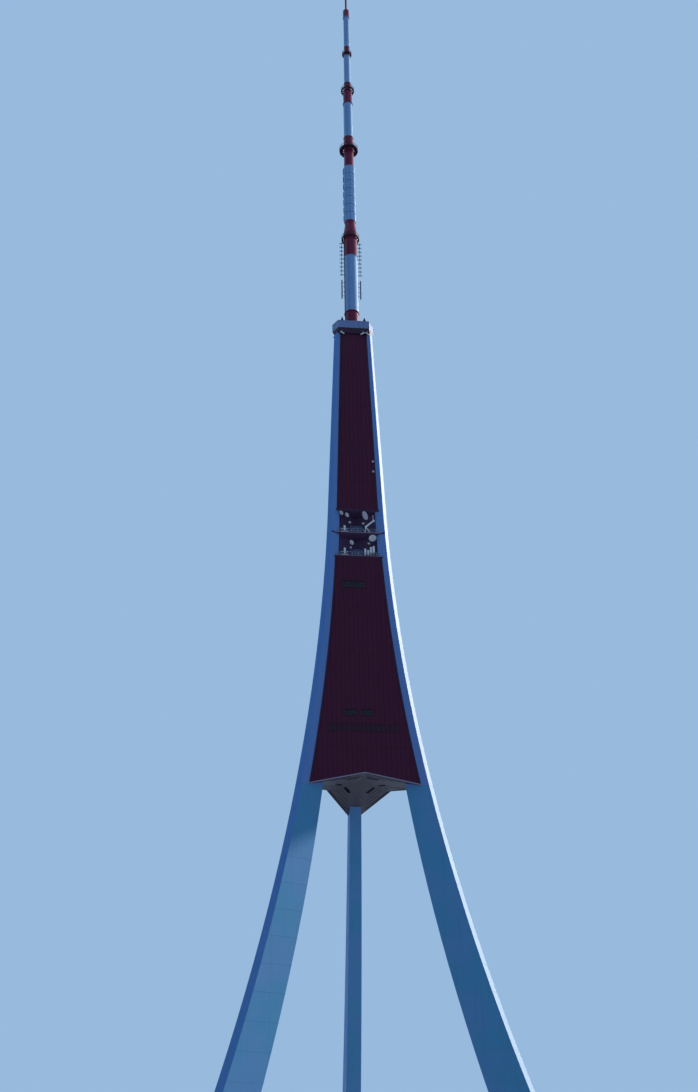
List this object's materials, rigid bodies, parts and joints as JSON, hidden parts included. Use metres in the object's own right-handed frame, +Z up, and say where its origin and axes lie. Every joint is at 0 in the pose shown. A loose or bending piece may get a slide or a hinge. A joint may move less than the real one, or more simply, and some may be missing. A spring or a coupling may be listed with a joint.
{
  "type": "radio mast",
  "caption": "Three-legged radio and television tower with curved box legs, a dark clad body, open equipment storeys and a stepped antenna mast; scale model at 1:10.",
  "frame": {"origin": "on the ground, in the middle of the outline of the three feet; the tower's own axis stands 1.036 m in front of it, towards -Y", "axes": "+Z up along the mast; -Y towards the front face, between the two front legs; +X to the right seen from the front"},
  "size_m": [7.9066, 6.8474, 36.85],
  "materials": {
    "leg_paint": "satin pale blue paint, bleached by the sun on one side",
    "wall_cladding": "dark red profiled sheet",
    "soffit_metal": "grey sheet metal",
    "floor_concrete_paint": "matt dark paint",
    "galvanised_steel": "galvanised",
    "dish_white": "off-white paint",
    "parapet_metal": "blue-grey sheet",
    "antenna_grey": "weathered, painted dark",
    "mast_red": "dark signal red paint",
    "mast_white": "cool white paint"
  },
  "bodies": {
    "root": {"leg_front_left_lower": "leg_paint", "leg_front_right_lower": "leg_paint", "leg_back_lower": "leg_paint", "leg_front_left_upper": "leg_paint", "leg_front_right_upper": "leg_paint", "leg_back_upper": "leg_paint", "wall_front_lower": "wall_cladding", "wall_back_right_lower": "wall_cladding", "wall_back_left_lower": "wall_cladding", "wall_front_upper": "wall_cladding", "wall_back_right_upper": "wall_cladding", "wall_back_left_upper": "wall_cladding", "soffit_front_left": "soffit_metal", "soffit_front_right": "soffit_metal", "soffit_back": "soffit_metal", "viewing_floor": "floor_concrete_paint", "upper_viewing_floor": "floor_concrete_paint", "service_floor": "floor_concrete_paint", "equipment_floor": "floor_concrete_paint", "equipment_mid_floor": "floor_concrete_paint", "equipment_ceiling": "floor_concrete_paint", "equipment_railings": "galvanised_steel", "equipment_partitions": "floor_concrete_paint", "equipment_cabinets": "antenna_grey", "deck_panels": "dish_white", "deck_davit": "dish_white", "dishes_front": "dish_white", "dishes_back_right": "dish_white", "dishes_back_left": "dish_white", "roof_deck": "floor_concrete_paint", "crown_parapet": "parapet_metal", "roof_caps": "galvanised_steel", "crown_lamps": "dish_white", "mast_drum": "mast_red", "mast_tube_white_low": "mast_white", "mast_tube_red_low": "mast_red", "mast_panel_antenna": "mast_white", "mast_tube_red_mid": "mast_red", "mast_tube_white_mid": "mast_white", "mast_tube_red_high": "mast_red", "mast_tube_white_high": "mast_white", "mast_tube_red_top": "mast_red", "mast_top_antenna": "mast_white", "mast_cap": "mast_red", "mast_rod": "mast_red", "platform_lowest": "mast_red", "platform_middle": "mast_red", "platform_upper": "mast_red", "platform_highest": "mast_red", "dipole_rows": "antenna_grey", "side_panels": "antenna_grey"}
  },
  "joints": []
}
